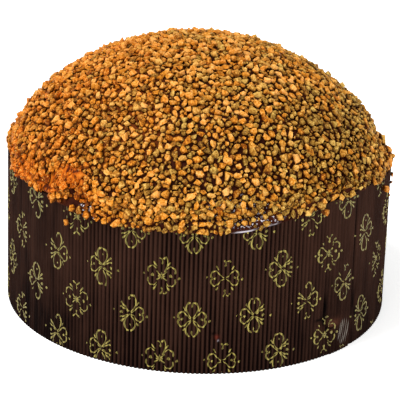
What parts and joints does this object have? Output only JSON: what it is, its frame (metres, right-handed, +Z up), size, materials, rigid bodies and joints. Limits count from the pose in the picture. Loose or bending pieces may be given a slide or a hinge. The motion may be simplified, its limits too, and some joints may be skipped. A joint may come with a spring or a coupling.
{
  "type": "panettone in a paper case",
  "caption": "Round low festive loaf, domed over the rim of a fluted brown paper case, under a chocolate coat set with caramel granules.",
  "frame": {"origin": "middle of the underside of the paper case", "axes": "+Z up, -Y towards the front, +X to the right seen from the front"},
  "size_m": [0.2032, 0.2031, 0.1412],
  "materials": {
    "paper": "matt dark brown corrugated baking paper with a faint sheen, printed with thin gold flowers",
    "crumb": "soft open yellow crumb under a thin baked skin",
    "coating": "glossy near-black chocolate almost hidden by amber caramel granules"
  },
  "bodies": {
    "root": {"paper_case": "paper", "loaf": "crumb", "crunch_coat": "coating"}
  },
  "joints": []
}
